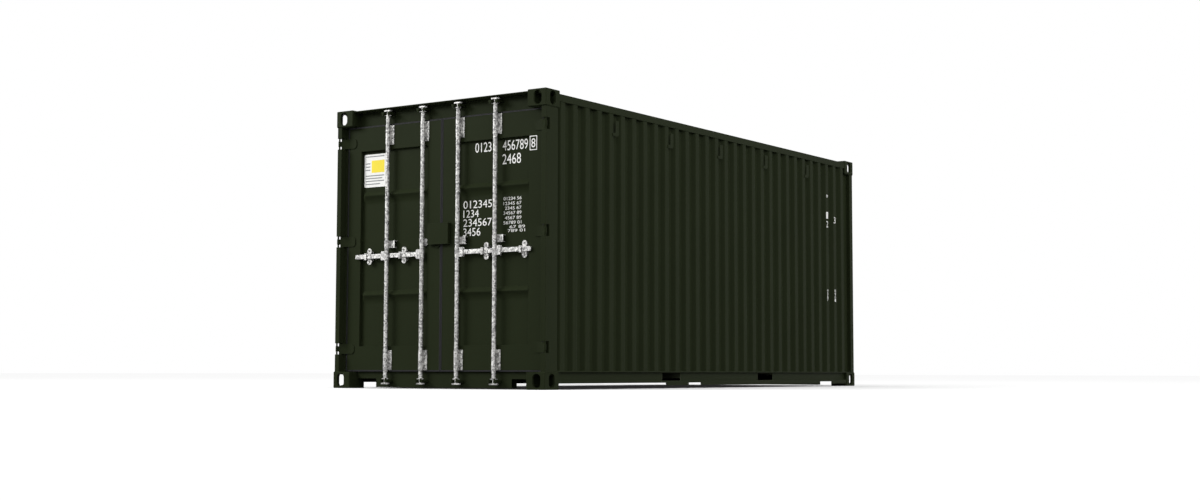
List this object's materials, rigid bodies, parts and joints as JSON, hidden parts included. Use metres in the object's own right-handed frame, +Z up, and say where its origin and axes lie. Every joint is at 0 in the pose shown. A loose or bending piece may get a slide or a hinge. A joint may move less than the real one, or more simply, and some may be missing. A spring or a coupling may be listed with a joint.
{
  "type": "twenty foot freight container",
  "caption": "Steel storage container with corrugated walls, hinged end doors, turning lock bars with lifting handles, corner castings and fork pockets.",
  "frame": {"origin": "centre of the base, on the ground between the four bottom castings", "axes": "+X along the length from the doors to the closed end, +Y to the left seen facing the doors, +Z up"},
  "size_m": [6.058, 2.438, 2.591],
  "materials": {
    "olive_paint": "satin",
    "galvanised_steel": "spangled galvanised",
    "seal_rubber": "matte",
    "floor_timber": "oiled plywood"
  },
  "bodies": {
    "frame": {"bottom_rails": "olive_paint", "closed_end_bottom_castings": "olive_paint", "closed_end_posts": "olive_paint", "closed_end_sill": "olive_paint", "closed_end_top_castings": "olive_paint", "closed_end_top_rail": "olive_paint", "closed_end_wall": "olive_paint", "cross_members": "olive_paint", "door_end_bottom_castings": "olive_paint", "door_end_top_castings": "olive_paint", "door_header": "olive_paint", "door_sill": "olive_paint", "floor": "floor_timber", "fork_pockets": "olive_paint", "header_keepers": "olive_paint", "left_door_post": "olive_paint", "left_side_wall": "olive_paint", "right_door_post": "olive_paint", "right_side_wall": "olive_paint", "roof": "olive_paint", "sill_keepers": "olive_paint", "top_rails": "olive_paint", "wall_lugs": "olive_paint"},
    "left_door": {"left_door_leaf": "olive_paint", "left_door_seal": "seal_rubber", "left_hinge_blades": "olive_paint", "left_bar_brackets": "galvanised_steel", "left_handle_retainers": "galvanised_steel", "lock_eye_plate": "olive_paint"},
    "right_door": {"right_door_leaf": "olive_paint", "right_door_seal": "seal_rubber", "right_hinge_blades": "olive_paint", "right_bar_brackets": "galvanised_steel", "right_handle_retainers": "galvanised_steel", "lock_box": "olive_paint"},
    "outer_left_bar": {"outer_left_lock_bar": "galvanised_steel", "outer_left_cams": "galvanised_steel"},
    "outer_left_lever": {"outer_left_handle": "galvanised_steel"},
    "inner_left_bar": {"inner_left_lock_bar": "galvanised_steel", "inner_left_cams": "galvanised_steel"},
    "inner_left_lever": {"inner_left_handle": "galvanised_steel"},
    "inner_right_bar": {"inner_right_lock_bar": "galvanised_steel", "inner_right_cams": "galvanised_steel"},
    "inner_right_lever": {"inner_right_handle": "galvanised_steel"},
    "outer_right_bar": {"outer_right_lock_bar": "galvanised_steel", "outer_right_cams": "galvanised_steel"},
    "outer_right_lever": {"outer_right_handle": "galvanised_steel"}
  },
  "joints": [
    {"name": "left_door_hinge", "type": "hinge", "parent": "frame", "child": "left_door", "pos_m": [-3.004, 1.201, 1.363], "axis": [0, 0, -1], "range_deg": [0, 267]},
    {"name": "right_door_hinge", "type": "hinge", "parent": "frame", "child": "right_door", "pos_m": [-3.004, -1.201, 1.363], "axis": [0, 0, 1], "range_deg": [0, 267]},
    {"name": "outer_left_bar_turn", "type": "hinge", "parent": "left_door", "child": "outer_left_bar", "pos_m": [-2.972, 0.627, 1.215], "axis": [0, 0, -1], "range_deg": [-100, 0]},
    {"name": "outer_left_handle_lift", "type": "hinge", "parent": "outer_left_bar", "child": "outer_left_lever", "pos_m": [-2.962, 0.675, 1.215], "axis": [-1, 0, 0], "range_deg": [-35, 0]},
    {"name": "inner_left_bar_turn", "type": "hinge", "parent": "left_door", "child": "inner_left_bar", "pos_m": [-2.972, 0.206, 1.215], "axis": [0, 0, -1], "range_deg": [-100, 0]},
    {"name": "inner_left_handle_lift", "type": "hinge", "parent": "inner_left_bar", "child": "inner_left_lever", "pos_m": [-2.962, 0.254, 1.215], "axis": [-1, 0, 0], "range_deg": [-35, 0]},
    {"name": "inner_right_bar_turn", "type": "hinge", "parent": "right_door", "child": "inner_right_bar", "pos_m": [-2.972, -0.206, 1.215], "axis": [0, 0, 1], "range_deg": [-100, 0]},
    {"name": "inner_right_handle_lift", "type": "hinge", "parent": "inner_right_bar", "child": "inner_right_lever", "pos_m": [-2.962, -0.254, 1.215], "axis": [1, 0, 0], "range_deg": [-35, 0]},
    {"name": "outer_right_bar_turn", "type": "hinge", "parent": "right_door", "child": "outer_right_bar", "pos_m": [-2.972, -0.627, 1.215], "axis": [0, 0, 1], "range_deg": [-100, 0]},
    {"name": "outer_right_handle_lift", "type": "hinge", "parent": "outer_right_bar", "child": "outer_right_lever", "pos_m": [-2.962, -0.675, 1.215], "axis": [1, 0, 0], "range_deg": [-35, 0]}
  ]
}
